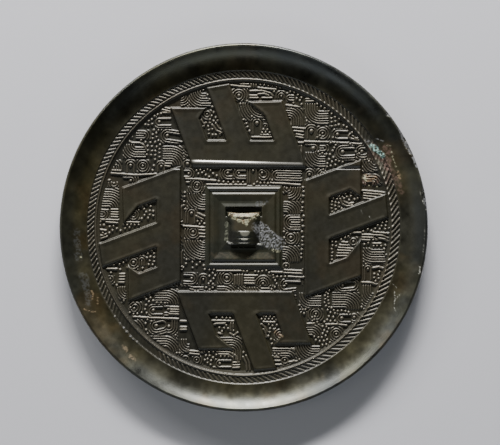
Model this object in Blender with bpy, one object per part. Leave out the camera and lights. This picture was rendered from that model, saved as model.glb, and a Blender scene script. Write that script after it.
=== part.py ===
"""Ancient cast bronze mirror, lying on its polished face with the decorated back up.

The back has a plain upturned rim, a band of slanting rope strokes, a thin ring, four slanted
three-pronged motifs on a lower field, and a square seat that carries a bridge knob. It was
cast in one piece, so it is one solid. +Y is the top of the back, and Z = 0 is the face.
"""

import math

import bmesh
import bpy

MM = 0.001

# Driving sizes: the mirror's radius, the plate's thickness in the field, how far the motifs
# stand up from it, and the heights of the rim's lip and of the knob
RADIUS = 70.0 * MM
FIELD = 1.7 * MM
RELIEF = 0.9 * MM
RIM_HEIGHT = 6.8 * MM
KNOB_HEIGHT = 5.8 * MM

SEGMENTS = 120

# Turned plate: widths of the bands from the edge inward, and their levels
FACE_INSET = 1.3 * MM
LIP_WIDTH = 1.0 * MM
RIM_WIDTH = 10.3 * MM
ROPE_WIDTH = 2.6 * MM
RING_WIDTH = 2.2 * MM
RIM_STEP = 0.4 * MM
ROPE_OUTER = RADIUS - RIM_WIDTH
ROPE_INNER = ROPE_OUTER - ROPE_WIDTH
FIELD_RADIUS = ROPE_INNER - RING_WIDTH
ROPE_FLOOR = FIELD + 0.5 * RELIEF
RIM_FOOT = FIELD + 1.1 * RELIEF
RING_TOP = FIELD + 1.0 * RELIEF
RIM_HOLLOW = 1.9
EMBED = 0.3 * FIELD

# Rope strokes: each leans counter-clockwise on its way out
STROKES = 186
STROKE_LEAN = math.radians(47)
STROKE_FOOT = 0.95 * MM
STROKE_CREST = 0.35 * MM
STROKE_END_GAP = 0.25 * MM
STROKE_HEIGHT = 0.4 * RELIEF

# Three-pronged motifs, drawn in seventieths of the radius: u runs along the base, v outward
# from the middle of the mirror. A row holds the six prong sides along u at the gaps' floor,
# then along v the base's inner side, the gaps' floor, the left and right prongs' tops and the
# centre prong's two corners. The rows are the top, left, bottom and right motifs, each cut by
# hand and so a little different.
MOTIF_UNIT = RADIUS / 70
SLANT = -0.37
BARB_REACH = 4.6
BARB_DROP = 4.4
BARB_TIP_FALL = 0.4
RIGHT_BARB_LONGER = 1.4
MOTIF_BEVEL = 0.55 * MM
MOTIF_FLARE = 0.1 * MM
MOTIFS = (
    ((-23.6, -13.8, -7.0, 2.6, 11.2, 20.3), 22.5, 33.4, 45.8, 48.4, (53.5, 55.1)),
    ((-24.6, -14.9, -8.0, 2.0, 10.1, 20.1), 23.9, 33.4, 44.3, 46.5, (54.0, 55.4)),
    ((-22.1, -11.8, -5.1, 4.2, 13.0, 22.5), 24.2, 33.4, 44.9, 47.2, (54.4, 55.2)),
    ((-21.7, -11.0, -5.1, 4.9, 13.4, 23.5), 23.1, 32.9, 45.0, 45.1, (54.3, 55.4)),
)

# Square seat: half sizes across, what its height along Y adds to the outer half, and how far
# up the knob's square sits from its middle. The profile runs inward from the seat's edge, as
# shares of the band's width and of the relief.
SEAT_HALF = 14.6 * MM
SEAT_TALLER = 1.2 * MM
SEAT_FLARE = 0.3 * MM
SEAT_PROFILE = (
    (0, 0.25),
    (0.12, 0.8),
    (0.16, 0.8),
    (0.24, 0.4),
    (0.28, 0.4),
    (0.38, 0.95),
    (0.43, 0.93),
    (0.7, 0.42),
    (0.8, 0.47),
)
KNOB_HALF = 7.1 * MM
KNOB_RISE = 0.4 * MM

# Bridge knob: its strap spans the seat left to right over a tunnel along Y. The ridges run
# along the strap, each between two distances up from the mirror's middle, as shares of the
# knob's half size.
KNOB_FRONT = 0.83 * KNOB_HALF
KNOB_LEAN_IN = 0.13 * KNOB_HALF
STRAP_HALF = 0.93 * KNOB_HALF
STRAP_THICKNESS = 0.2 * KNOB_HEIGHT
RIDGE_HEIGHT = 0.05 * KNOB_HEIGHT
RIDGE_FLANK = 0.07 * KNOB_HALF
RIDGES = ((0.56, 0.65), (-0.48, -0.25), (-0.70, -0.64), (-0.89, -0.86))
KNOB_BACK = RIDGES[-1][0] * KNOB_HALF - RIDGE_FLANK

# The crown sinks from this place towards the strap's back edge
CROWN_END = -0.25 * KNOB_HALF
CROWN_FALL = 1.0 * MM

TUNNEL_HALF = 0.65 * KNOB_HALF
TUNNEL_FLOOR = 1.2 * FIELD
TRENCH_FLOOR = 0.9 * FIELD
TRENCH_WIDTH = 0.24 * KNOB_HALF

# Losses from the lip: middle and length in degrees, depth inward in lip widths, and depth
# down from the lip as a share of the rim's height
CHIPS = ((27.5, 11.5, 1.5, 0.18), (9.5, 6.5, 1.3, 0.16), (38.0, 2.5, 1.1, 0.11))


def clear_scene():
    for thing in list(bpy.data.objects):
        bpy.data.objects.remove(thing)


def add_stack(bm, rings):
    """A closed body through rings of equally many points, with its first and last ring filled."""
    loops = [[bm.verts.new(point) for point in ring] for ring in rings]
    for low, high in zip(loops, loops[1:]):
        for i in range(len(low)):
            bm.faces.new((low[i - 1], low[i], high[i], high[i - 1]))
    bm.faces.new(loops[0])
    bm.faces.new(loops[-1])


def mesh_object(name, stacks):
    """One object that holds a closed body for each list of rings."""
    bm = bmesh.new()
    for rings in stacks:
        add_stack(bm, rings)
    bmesh.ops.recalc_face_normals(bm, faces=bm.faces)
    mesh = bpy.data.meshes.new(name)
    bm.to_mesh(mesh)
    bm.free()
    thing = bpy.data.objects.new(name, mesh)
    bpy.context.collection.objects.link(thing)
    return thing


def circle(radius, z):
    turns = (2 * math.pi * i / SEGMENTS for i in range(SEGMENTS))
    return [(radius * math.cos(a), radius * math.sin(a), z) for a in turns]


def turned(x, y, quarter_turns):
    """A point turned counter-clockwise about the middle of the mirror."""
    for _ in range(quarter_turns % 4):
        x, y = -y, x
    return x, y


def inset(outline, distance):
    """The outline, listed counter-clockwise, moved inward by a distance with sharp corners."""
    moved = []
    for i, (x, y) in enumerate(outline):
        before = outline[i - 1]
        after = outline[(i + 1) % len(outline)]
        into = math.atan2(y - before[1], x - before[0])
        out_of = math.atan2(after[1] - y, after[0] - x)
        half_turn = (out_of - into) / 2
        reach = distance / math.cos(half_turn)
        normal = into + half_turn + math.pi / 2
        moved.append((x + reach * math.cos(normal), y + reach * math.sin(normal)))
    return moved


def rim_profile():
    """The plain rim from its lip down to its foot, as radius and height pairs: a hollow curve."""
    lip = RADIUS - LIP_WIDTH
    foot = ROPE_OUTER + RIM_STEP
    pairs = []
    steps = 6
    for i in range(steps + 1):
        t = 1 - i / steps
        height = RIM_FOOT + t**RIM_HOLLOW * (RIM_HEIGHT - RIM_FOOT)
        pairs.append((foot + t * (lip - foot), height))
    return pairs


def plate_profile():
    """The turned plate from the edge of its face, round the lip and in to the field."""
    side = [
        (RADIUS - FACE_INSET, 0),
        (RADIUS - 0.5 * FACE_INSET, 0.25 * FIELD),
        (RADIUS, 0.8 * RIM_HEIGHT),
        (RADIUS - 0.25 * LIP_WIDTH, 0.95 * RIM_HEIGHT),
    ]
    ring = [
        (ROPE_OUTER, ROPE_FLOOR),
        (ROPE_INNER, ROPE_FLOOR),
        (ROPE_INNER - 0.25 * RING_WIDTH, RING_TOP),
        (ROPE_INNER - 0.5 * RING_WIDTH, RING_TOP),
        (FIELD_RADIUS, FIELD),
    ]
    return side + rim_profile() + ring


def make_plate():
    return mesh_object("mirror", [[circle(r, z) for r, z in plate_profile()]])


def stroke_ring(turn, width, shorter, z):
    """One level of a stroke: a sheared quarter of the band, shortened at both ends."""
    inner = ROPE_INNER + STROKE_END_GAP
    outer = ROPE_OUTER - STROKE_END_GAP
    half = width / math.cos(STROKE_LEAN) / 2
    ends = (inner + shorter, outer - shorter)
    points = []
    for radius, side in ((ends[0], -1), (ends[1], -1), (ends[1], 1), (ends[0], 1)):
        along = (radius - inner) * math.tan(STROKE_LEAN)
        angle = turn + (along + side * half) / radius
        points.append((radius * math.cos(angle), radius * math.sin(angle), z))
    return points


def stroke(turn):
    """One raised stroke of the rope band, its foot sunk into the band's floor."""
    foot = stroke_ring(turn, STROKE_FOOT, 0, ROPE_FLOOR - 0.2 * STROKE_HEIGHT)
    crest = stroke_ring(turn, STROKE_CREST, STROKE_END_GAP, ROPE_FLOOR + STROKE_HEIGHT)
    return [foot, crest]


def make_rope():
    turns = (2 * math.pi * i / STROKES for i in range(STROKES))
    return mesh_object("rope_strokes", [stroke(turn) for turn in turns])


def motif_outline(sizes, quarter_turns):
    """One motif seen from above, counter-clockwise."""
    edges, base, floor, left_top, right_top, centre_tops = sizes
    left, gap_1, centre, gap_2, right, end = edges

    def on_side(edge, v):
        return edge + SLANT * (v - floor), v

    points = [
        on_side(left, base),
        on_side(end, base),
        on_side(end, right_top),
        (on_side(right, right_top)[0] - BARB_REACH, right_top - BARB_TIP_FALL),
        on_side(right, right_top - RIGHT_BARB_LONGER * BARB_DROP),
        on_side(right, floor),
        on_side(gap_2, floor),
        on_side(gap_2, centre_tops[1]),
        on_side(centre, centre_tops[0]),
        on_side(centre, floor),
        on_side(gap_1, floor),
        on_side(gap_1, left_top - BARB_DROP),
        (on_side(gap_1, left_top)[0] + BARB_REACH, left_top),
        on_side(left, left_top),
    ]
    return [turned(u * MOTIF_UNIT, v * MOTIF_UNIT, quarter_turns) for u, v in points]


def motif_outlines():
    return [motif_outline(sizes, turns) for turns, sizes in enumerate(MOTIFS)]


def make_motifs():
    stacks = []
    for outline in motif_outlines():
        foot = [(x, y, FIELD - EMBED) for x, y in inset(outline, -MOTIF_FLARE)]
        top = [(x, y, FIELD + RELIEF) for x, y in inset(outline, MOTIF_BEVEL)]
        stacks.append([foot, top])
    return mesh_object("motifs", stacks)


def seat_ring(half, z):
    """One level of the seat: a true square round the knob, a little taller at the outer edge."""
    outward = (half - KNOB_HALF) / (SEAT_HALF - KNOB_HALF)
    middle = KNOB_RISE * (1 - outward)
    tall = half + SEAT_TALLER * outward
    corners = ((-1, -1), (1, -1), (1, 1), (-1, 1))
    return [(x * half, middle + y * tall, z) for x, y in corners]


def make_seat():
    """A double ridge round a hollow band, which rises to the knob's square."""
    rings = [seat_ring(SEAT_HALF + SEAT_FLARE, FIELD - EMBED)]
    for inward, rise in SEAT_PROFILE:
        half = SEAT_HALF - inward * (SEAT_HALF - KNOB_HALF)
        rings.append(seat_ring(half, FIELD + rise * RELIEF))
    rings.append(seat_ring(KNOB_HALF, FIELD + RELIEF))
    return mesh_object("seat", [rings])


def box_stack(low, high):
    """The two rings of an upright box."""
    (x0, y0, z0), (x1, y1, z1) = low, high
    corners = ((x0, y0), (x1, y0), (x1, y1), (x0, y1))
    return [[(x, y, z) for x, y in corners] for z in (z0, z1)]


def make_trench():
    """The hollow before the tunnel's upper mouth."""
    top = KNOB_RISE + 1.02 * KNOB_HALF
    half = 0.97 * KNOB_HALF
    low = (-half, KNOB_FRONT - TRENCH_WIDTH, TRENCH_FLOOR)
    high = (half, top, KNOB_HEIGHT)
    return mesh_object("trench_cutter", [box_stack(low, high)])


def arch(half, top, foot, power=2.1, steps=12):
    """A rounded arch as x and z pairs, from its right foot over to its left one."""
    pairs = []
    for i in range(steps + 1):
        a = math.pi * i / steps
        x = half * math.copysign(abs(math.cos(a)) ** (2 / power), math.cos(a))
        pairs.append((x, foot + (top - foot) * math.sin(a) ** (2 / power)))
    return pairs


def strap_stations():
    """Places along Y where the strap's section changes, each with how far it swells there."""
    stations = [(KNOB_FRONT, 0)]
    for low, high in RIDGES:
        low, high = low * KNOB_HALF, high * KNOB_HALF
        stations.append((high + RIDGE_FLANK, 0))
        stations.append((high, RIDGE_HEIGHT))
        stations.append((low, RIDGE_HEIGHT))
        stations.append((low - RIDGE_FLANK, 0))
    return stations


def crown_fall(y):
    return CROWN_FALL * max(0, (CROWN_END - y) / (CROWN_END - KNOB_BACK))


def make_strap():
    """The strap, a run of arches: its front edge leans in towards the crown."""
    foot = TUNNEL_FLOOR - EMBED
    rings = []
    for y, swell in strap_stations():
        lean = KNOB_LEAN_IN if y == KNOB_FRONT else 0
        top = KNOB_HEIGHT - RIDGE_HEIGHT + swell - crown_fall(y)
        pairs = arch(STRAP_HALF + swell / 2, top, foot)
        rings.append([(x, y - lean * (z - foot) / (KNOB_HEIGHT - foot), z) for x, z in pairs])
    return mesh_object("strap", [rings])


def make_tunnel():
    rings = []
    for y in (1.15 * KNOB_BACK, CROWN_END, KNOB_RISE + 1.07 * KNOB_HALF):
        top = KNOB_HEIGHT - STRAP_THICKNESS - crown_fall(y)
        rings.append([(x, y, z) for x, z in arch(TUNNEL_HALF, top, TUNNEL_FLOOR)])
    return mesh_object("tunnel_cutter", [rings])


def chip(degrees, length, depth, drop):
    """A cutter for one loss, with its inner face bent along its length."""
    bends = ((-0.5, 0.1), (-0.2, 0.8), (0.05, 1.0), (0.3, 0.6), (0.5, 0.1))
    inner = [(degrees + t * length, RADIUS - share * depth * LIP_WIDTH) for t, share in bends]
    outer = [(degrees + t * length, RADIUS + LIP_WIDTH) for t in (0.5, -0.5)]
    plan = []
    for turn, radius in inner + outer:
        angle = math.radians(turn)
        plan.append((radius * math.cos(angle), radius * math.sin(angle)))
    levels = ((1 - drop) * RIM_HEIGHT, 1.2 * RIM_HEIGHT)
    return [[(x, y, z) for x, y in plan] for z in levels]


def make_chips():
    return mesh_object("chip_cutter", [chip(*sizes) for sizes in CHIPS])


def combine(body, other, operation):
    """Joins or cuts with a Boolean and keeps the other shape as a hidden guide."""
    modifier = body.modifiers.new(f"{operation.lower()} {other.name}", "BOOLEAN")
    modifier.operation = operation
    modifier.object = other
    modifier.solver = "EXACT"
    other.hide_render = True
    other.display_type = "WIRE"


def bronze():
    material = bpy.data.materials.new("old_bronze")
    material.use_nodes = True
    shader = material.node_tree.nodes["Principled BSDF"]
    shader.inputs["Base Color"].default_value = (0.10, 0.09, 0.065, 1)
    shader.inputs["Metallic"].default_value = 0.85
    shader.inputs["Roughness"].default_value = 0.42
    return material


def make_mirror():
    mirror = make_plate()
    mirror.data.materials.append(bronze())
    combine(mirror, make_rope(), "UNION")
    combine(mirror, make_motifs(), "UNION")
    combine(mirror, make_seat(), "UNION")
    combine(mirror, make_trench(), "DIFFERENCE")
    combine(mirror, make_strap(), "UNION")
    combine(mirror, make_tunnel(), "DIFFERENCE")
    combine(mirror, make_chips(), "DIFFERENCE")
    mirror.data.shade_smooth()
    mirror.data.set_sharp_from_angle(angle=math.radians(25))


clear_scene()
make_mirror()
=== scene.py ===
"""The looks of an ancient cast bronze mirror: its fine relief, patina and setting.

All plan sizes below are in millimetres from the middle of the mirror, +Y towards the top of
its back. The back is one height field, read by a square grid inside the thin ring and by a
grid of rings from there to the edge. The knob's strap is a mesh of its own over the tunnel.
"""

import math

import bpy
import numpy as np
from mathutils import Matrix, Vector


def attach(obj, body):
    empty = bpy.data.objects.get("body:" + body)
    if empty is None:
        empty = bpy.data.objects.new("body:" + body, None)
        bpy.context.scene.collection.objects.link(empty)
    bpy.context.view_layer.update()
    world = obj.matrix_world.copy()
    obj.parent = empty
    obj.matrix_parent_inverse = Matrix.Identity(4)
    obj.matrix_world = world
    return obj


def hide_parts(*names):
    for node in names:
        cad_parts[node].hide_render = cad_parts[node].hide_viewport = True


MM = 0.001

# Plate, as in the solid. A profile holds places and shares of the relief over the field.
RADIUS = 70.0
FIELD = 1.7
RELIEF = 0.9
RIM_HEIGHT = 6.8
KNOB_HEIGHT = 5.8
LIP_WIDTH = 1.0
LIP_START = RADIUS - LIP_WIDTH
RING_CREST = 56.3
ROPE_INNER = 57.1
ROPE_OUTER = 59.7
ROPE_FLOOR = FIELD + 0.5 * RELIEF
RIM_START = 60.1
RIM_FOOT = FIELD + 1.1 * RELIEF
RIM_HOLLOW = 2.1
FIELD_RADIUS = 54.9
BAND_PROFILE = (
    (0, 0), (55.0, 0), (55.9, 0.25), (56.2, 0.5), (56.4, 1), (56.6, 0.95), (57.0, 0.5),
    (59.45, 0.5), (60.0, 1.16), (60.2, 1.1),
)

# The lip and the outer wall, from the lip's inner side down: distance in from the edge, height
LIP_PROFILE = (
    (0.88, RIM_HEIGHT), (0.7, 6.74), (0.5, 6.6), (0.3, 6.38), (0.12, 6.05), (0, 5.5),
    (0.1, 4.9), (0.25, 4.1), (0.42, 3.3), (0.58, 1.2), (0.72, 0.55), (0.95, 0.15), (1.3, 0),
)

# Meshes: the square grid's step, how far it dips under the rope band, and the rings
STEP = 0.2
TUCKED_UNDER = 0.4
COLUMNS = 1600
FACE_COLUMNS = 256
ROPE_RADII = [*np.arange(RING_CREST - 0.1, RIM_START + 0.5, 0.17), RIM_START + 0.5]
RIM_RADII = np.linspace(RIM_START + 0.5, LIP_START, 26)
FACE_RADII = np.linspace(RADIUS - 1.3, 0.02, 70)

# Rope strokes
STROKES = 186
STROKE_SPREAD = 0.13
STROKE_LEAN = math.tan(math.radians(47))
STROKE_HEIGHT = 0.5
STROKE_SPREAD_FROM = 135

# Thinner strokes, and worn ones after the share of their height that is gone: the degrees where
# the place starts, is full, starts to fade and ends
ROPE_THINNER = 0.08
ROPE_THIN_DEGREES = (262, 285, 315, 335)
ROPE_WORN = ((0.8, 207, 217, 232, 243), (0.7, 21, 25, 36, 48), (0.45, 238, 248, 300, 345))

# Three-pronged motifs, as in the solid
SLANT = -0.37
BARB_REACH = 4.6
BARB_DROP = 4.4
BARB_TIP_FALL = 0.4
RIGHT_BARB_LONGER = 1.4
MOTIFS = (
    ((-23.6, -13.8, -7.0, 2.6, 11.2, 20.3), 22.5, 33.4, 45.8, 48.4, (53.5, 55.1)),
    ((-24.6, -14.9, -8.0, 2.0, 10.1, 20.1), 23.9, 33.4, 44.3, 46.5, (54.0, 55.4)),
    ((-22.1, -11.8, -5.1, 4.2, 13.0, 22.5), 24.2, 33.4, 44.9, 47.2, (54.4, 55.2)),
    ((-21.7, -11.0, -5.1, 4.9, 13.4, 23.5), 23.1, 32.9, 45.0, 45.1, (54.3, 55.4)),
)

# Wear of the motifs: how far their lower edges slope, how deep their middle lies, and along
# the top motif's inner edge the slope's width at its two ends and the rise of its crest
LOWER_BEVEL = 1.2
MOTIF_HOLLOW = 0.2
SLOPE_ENDS = (-24, 20)
SLOPE_WIDTHS = (2.5, 1.4)
CREST_RISE = 0.16

# Seat and knob, as in the solid
SEAT_HALF = 14.6
SEAT_TALLER = 1.2
KNOB_HALF = 7.1
KNOB_RISE = 0.4
SEAT_PROFILE = (
    (0, 0.15), (0.06, 0.22), (0.12, 0.83), (0.16, 0.83), (0.24, 0.38), (0.31, 0.4),
    (0.38, 0.97), (0.43, 0.93), (0.7, 0.42), (0.8, 0.47), (1, 1),
)
TUNNEL_FLOOR = 1.2 * FIELD
TRENCH_FLOOR = 0.9 * FIELD

# Trench and tunnel: floor, where the sides end in x, and where the ends start and end in y
HOLES = (
    (TRENCH_FLOOR, (6.95, 6.75), (4.0, 4.3, 7.5, 7.75)),
    (TUNNEL_FLOOR, (4.8, 4.6), (-7.9, -7.7, 4.2, 4.4)),
)

# The strap over the tunnel
KNOB_FRONT = 0.83 * KNOB_HALF
KNOB_BACK = -0.96 * KNOB_HALF
KNOB_LEAN_IN = 0.13 * KNOB_HALF
CROWN_END = -0.25 * KNOB_HALF
CROWN_FALL = 1.0
STRAP_HALF = 0.93 * KNOB_HALF
STRAP_THICKNESS = 0.2 * KNOB_HEIGHT
TUNNEL_HALF = 0.65 * KNOB_HALF
RIDGES = ((0.605, 0.045), (-0.365, 0.115), (-0.67, 0.03), (-0.875, 0.015))
RIDGE_HEIGHT = 0.38
STRAP_FOOT = TUNNEL_FLOOR - 0.3
STRAP_SQUARENESS = 0.95
STRAP_STEPS = 80
STRAP_PLACES = 76

# Losses from the lip, as in the solid: middle and length in degrees, depth in, share down. Their
# shape: places along the length, and the share of the depth that is lost there
CHIPS = ((27.5, 11.5, 1.5, 0.18), (9.5, 6.5, 1.3, 0.16), (38.0, 2.5, 1.1, 0.11))
CHIP_SHAPE = ((-0.5, -0.2, 0.05, 0.3, 0.5), (0.1, 0.8, 1.0, 0.6, 0.1))

# Ground: sizes in pixels of the photograph, where the pattern was laid out
PIXEL = 0.3846
MIDDLE_PX = (243.8, 227.2)
LINE_PITCH_PX = 2.35
STROKE_RADIUS_PX = 0.41 * LINE_PITCH_PX
BEAD_RADIUS_PX = 1.35
BEAD_HOLLOW_PX = 2.3
BOX_EDGE_PX = 0.7

# How high the ground's pattern stands, how far it is sunk, and the cast unevenness
GROUND_RELIEF = 0.5
GROUND_SINK = 0.12
UNEVEN = 0.05

# Marks stand in groups of a kind, each drawn over those before it. A feather has its corner,
# the ways it opens to the right and below, and the box it fills; a curl the two ends of its
# core, its boss and its box; a stroke its points; a bead its middle. The stamped block:
BLOCK_PX = (57.0, 44.5)
BLOCK = (
    ("feather", (44, 33, 1, -1, 37, 18, 56.5, 44), (15, 10, -1, 1, 0.8, 10.5, 24.5, 27)),
    ("curl", (10.5, 8, -6, 8, 2.2, 0.5, 2.8, 16, 11.5), (20, 7, 15, 7, 0, 16.3, 2.8, 27, 11.5),
     (8, 33, 8, 50, 2, 0.8, 27, 14.5, 44), (21.5, 36, 21.6, 36, 1.2, 15, 27.5, 27.5, 43.5),
     (37.5, 10, 48, 9, 1.8, 31, 2.8, 50, 17.5), (33.5, 37.5, 47, 38, 1.6, 28.5, 32, 50, 43.5)),
    ("bead", (29.5, 3.8), (28.8, 7.6), (28.2, 11.5), (24.9, 13.5), (28.5, 15.5), (32, 18.5), (26.3, 18),
     (29.6, 20), (33.2, 22.5), (26.5, 22.5), (29.9, 24.5), (33.5, 26.8), (27.3, 27), (30.8, 29),
     (34.6, 30.4), (15.5, 25.5), (18.3, 25.6), (34.8, 19.5)),
    ("stroke", ((52.4, 4.5), (52.4, 16)), ((54.8, 4.5), (54.8, 16.5)), ((0, 1.3), (57, 1.3))),
)
BLOCK_ORIGINS_PX = ((303.5, 97.5), (123.0, 131.5))
BLOCK_PARTING_PX = 246.0

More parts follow.
